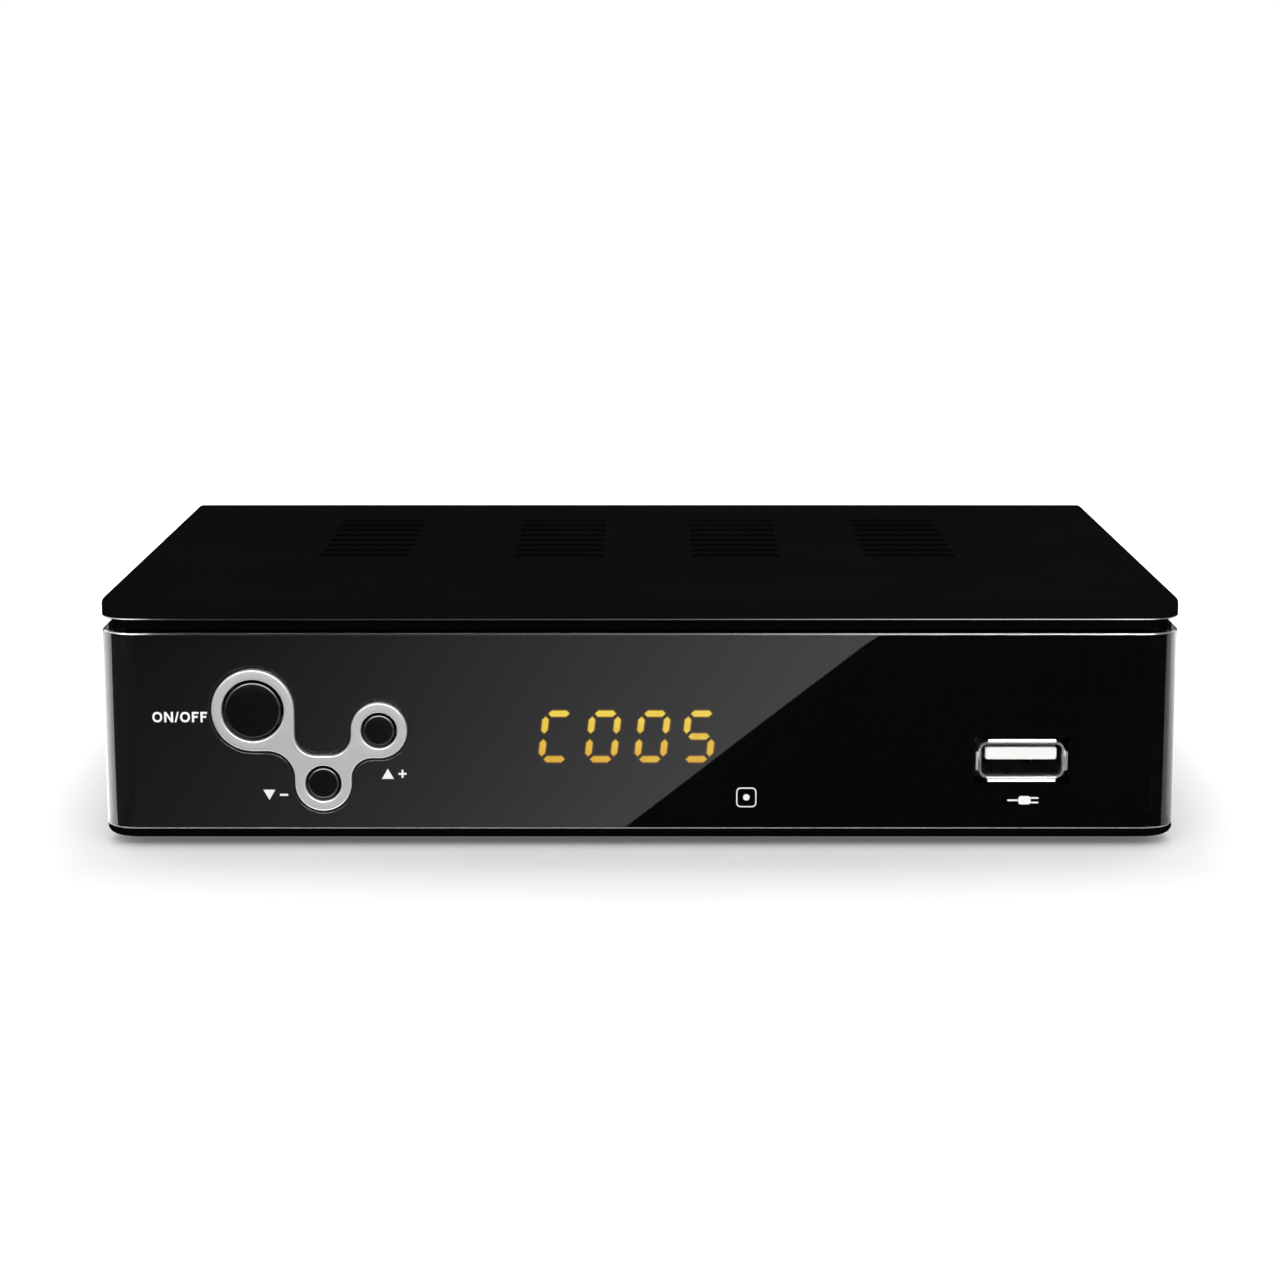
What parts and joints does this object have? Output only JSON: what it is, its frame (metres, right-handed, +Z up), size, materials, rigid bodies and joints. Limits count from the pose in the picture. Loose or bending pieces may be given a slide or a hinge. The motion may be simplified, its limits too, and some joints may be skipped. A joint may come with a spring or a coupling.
{
  "type": "digital converter box",
  "caption": "Low black television converter box: vented lid, smoked front with amber display, press buttons in a silver ringed trim, USB socket, and aerial, HDMI, AV and power sockets behind.",
  "frame": {"origin": "on the table, under the middle of the whole box with its rear sockets", "axes": "+X to the right of someone facing the front, +Y from the front to the rear, +Z up"},
  "size_m": [0.165, 0.1182, 0.0385],
  "materials": {
    "black_case": "fine satin black moulding",
    "smoked_window": "polished smoked plastic",
    "gloss_black": "polished black plastic",
    "satin_silver": "satin silver paint",
    "display_black": "matt black reflector",
    "amber_diffuser": "lit amber diffuser",
    "nickel": "bright nickel plate",
    "black_component": "moulded component body",
    "white_plastic": "white moulding",
    "yellow_plastic": "yellow moulding",
    "red_plastic": "red moulding",
    "circuit_board": "green solder mask",
    "heat_sink_aluminium": "plain extruded aluminium",
    "capacitor_sleeve": "shrink sleeve",
    "ribbon_grey": "ribbed grey ribbon",
    "tinned_can": "tinned sheet",
    "zinc_screw": "zinc plated",
    "foot_rubber": "soft black rubber"
  },
  "bodies": {
    "housing": {"top_cover": "black_case", "bottom_cover": "black_case", "front_window": "smoked_window", "front_frame": "black_case", "rear_panel": "black_case", "button_trim": "satin_silver", "power_switch": "black_component", "channel_down_switch": "black_component", "channel_up_switch": "black_component", "display_housing": "display_black", "display_segments": "amber_diffuser", "infrared_receiver": "black_component", "usb_shell": "nickel", "usb_tongue": "white_plastic", "front_board": "circuit_board", "main_board": "circuit_board", "processor": "black_component", "heat_sink": "heat_sink_aluminium", "capacitor_1": "capacitor_sleeve", "capacitor_2": "capacitor_sleeve", "front_header": "white_plastic", "main_header": "white_plastic", "ribbon_cable": "ribbon_grey", "power_inlet": "black_component", "power_inlet_pin": "nickel", "jack_block": "black_component", "video_jack_shell": "nickel", "video_jack_insert": "yellow_plastic", "left_audio_jack_shell": "nickel", "left_audio_jack_insert": "white_plastic", "right_audio_jack_shell": "nickel", "right_audio_jack_insert": "red_plastic", "hdmi_shell": "nickel", "hdmi_tongue": "black_component", "tuner_can": "tinned_can", "aerial_output_socket": "nickel", "aerial_output_insulator": "white_plastic", "aerial_input_socket": "nickel", "aerial_input_insulator": "white_plastic", "case_screw_front_left": "zinc_screw", "foot_front_left": "foot_rubber", "board_screw_front_left": "zinc_screw", "case_screw_front_right": "zinc_screw", "foot_front_right": "foot_rubber", "board_screw_front_right": "zinc_screw", "case_screw_rear_left": "zinc_screw", "foot_rear_left": "foot_rubber", "board_screw_rear_left": "zinc_screw", "case_screw_rear_right": "zinc_screw", "foot_rear_right": "foot_rubber", "board_screw_rear_right": "zinc_screw"},
    "power_button": {"power_button": "gloss_black", "power_plunger": "white_plastic"},
    "channel_down_button": {"channel_down_button": "gloss_black", "channel_down_plunger": "white_plastic"},
    "channel_up_button": {"channel_up_button": "gloss_black", "channel_up_plunger": "white_plastic"}
  },
  "joints": [
    {"name": "power_press", "type": "slide", "parent": "housing", "child": "power_button", "axis": [0, 1, 0], "range_m": [0, 0.0005], "stiffness_N_per_m": 3000},
    {"name": "channel_down_press", "type": "slide", "parent": "housing", "child": "channel_down_button", "axis": [0, 1, 0], "range_m": [0, 0.0005], "stiffness_N_per_m": 3000},
    {"name": "channel_up_press", "type": "slide", "parent": "housing", "child": "channel_up_button", "axis": [0, 1, 0], "range_m": [0, 0.0005], "stiffness_N_per_m": 3000}
  ]
}
